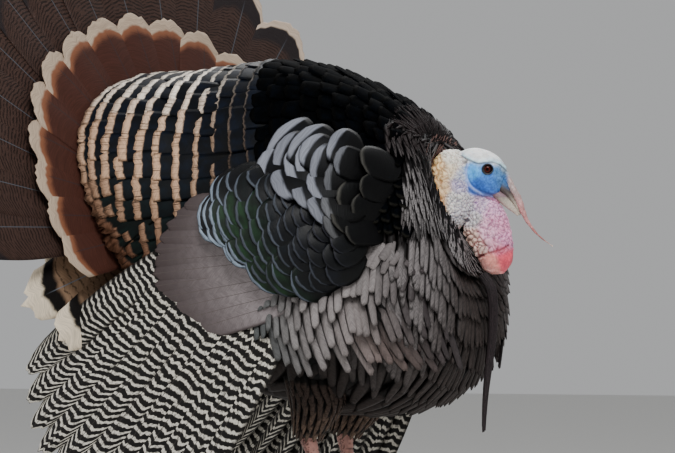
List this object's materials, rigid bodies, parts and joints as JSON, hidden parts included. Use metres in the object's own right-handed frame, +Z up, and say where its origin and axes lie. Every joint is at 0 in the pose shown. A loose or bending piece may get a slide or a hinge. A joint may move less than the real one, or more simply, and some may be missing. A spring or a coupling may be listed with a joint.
{
  "type": "wild turkey",
  "caption": "Life-size still model of a male wild turkey in full strut, with its tail fan spread, wings dropped to the floor and head drawn in.",
  "frame": {"origin": "on the floor, under the middle of the whole bird's bounding box", "axes": "+X forward along the body, +Y to the bird's left, +Z up"},
  "size_m": [0.6654, 0.7234, 0.7878],
  "materials": {
    "plumage": "satin black-brown body plumage with a faint green and blue sheen",
    "face_skin": "satin bare skin, sky blue round the eye with a white crown",
    "neck_skin": "satin warty bare skin, cream and tan with lilac wrinkles",
    "wattle_skin": "satin warty bare skin, pink to red at its lower end",
    "snood_skin": "satin bare skin, grey-pink to pink",
    "horn": "worn grey-brown horn, cream below",
    "eye": "wet dark brown iris with a black pupil",
    "beard_bristle": "coarse black-brown bristles",
    "grey_feather": "silver-grey feathers with black edges",
    "dark_feather": "black feathers with slate edges and a green sheen",
    "mauve_feather": "smooth grey-brown secondaries",
    "barred_feather": "black flight feathers with narrow white bars",
    "brown_feather": "chestnut brown feathers with fine black bars, a dark band and a buff tip",
    "rust_feather": "rust-red feathers with wide frayed cream tips",
    "buff_feather": "black and brown feathers with buff tips",
    "leg_scale": "dull pinkish-red scaled skin",
    "claw": "dark horn"
  },
  "bodies": {
    "root": {"beard": "beard_bristle", "bill_lower": "horn", "bill_upper": "horn", "claw_left_1": "claw", "claw_left_2": "claw", "claw_left_3": "claw", "claw_left_4": "claw", "claw_right_1": "claw", "claw_right_2": "claw", "claw_right_3": "claw", "claw_right_4": "claw", "eye_left": "eye", "eye_right": "eye", "foot_left": "leg_scale", "foot_right": "leg_scale", "head": "face_skin", "neck": "neck_skin", "primaries_left": "barred_feather", "primaries_right": "barred_feather", "scapulars_left": "grey_feather", "scapulars_right": "grey_feather", "secondaries_left": "mauve_feather", "secondaries_right": "mauve_feather", "shank_left": "leg_scale", "shank_right": "leg_scale", "snood": "snood_skin", "spur_left": "claw", "spur_right": "claw", "tail_coverts": "rust_feather", "tail_feather_01": "brown_feather", "tail_feather_02": "brown_feather", "tail_feather_03": "brown_feather", "tail_feather_04": "brown_feather", "tail_feather_05": "brown_feather", "tail_feather_06": "brown_feather", "tail_feather_07": "brown_feather", "tail_feather_08": "brown_feather", "tail_feather_09": "brown_feather", "tail_feather_10": "brown_feather", "tail_feather_11": "brown_feather", "tail_feather_12": "brown_feather", "tail_feather_13": "brown_feather", "tail_feather_14": "brown_feather", "tail_feather_15": "brown_feather", "tail_feather_16": "brown_feather", "tail_feather_17": "brown_feather", "tail_feather_18": "brown_feather", "tail_root": "plumage", "thigh_left": "plumage", "thigh_right": "plumage", "trunk": "plumage", "undertail_coverts": "buff_feather", "wattle": "wattle_skin", "wing_left": "dark_feather", "wing_right": "dark_feather"}
  },
  "joints": []
}
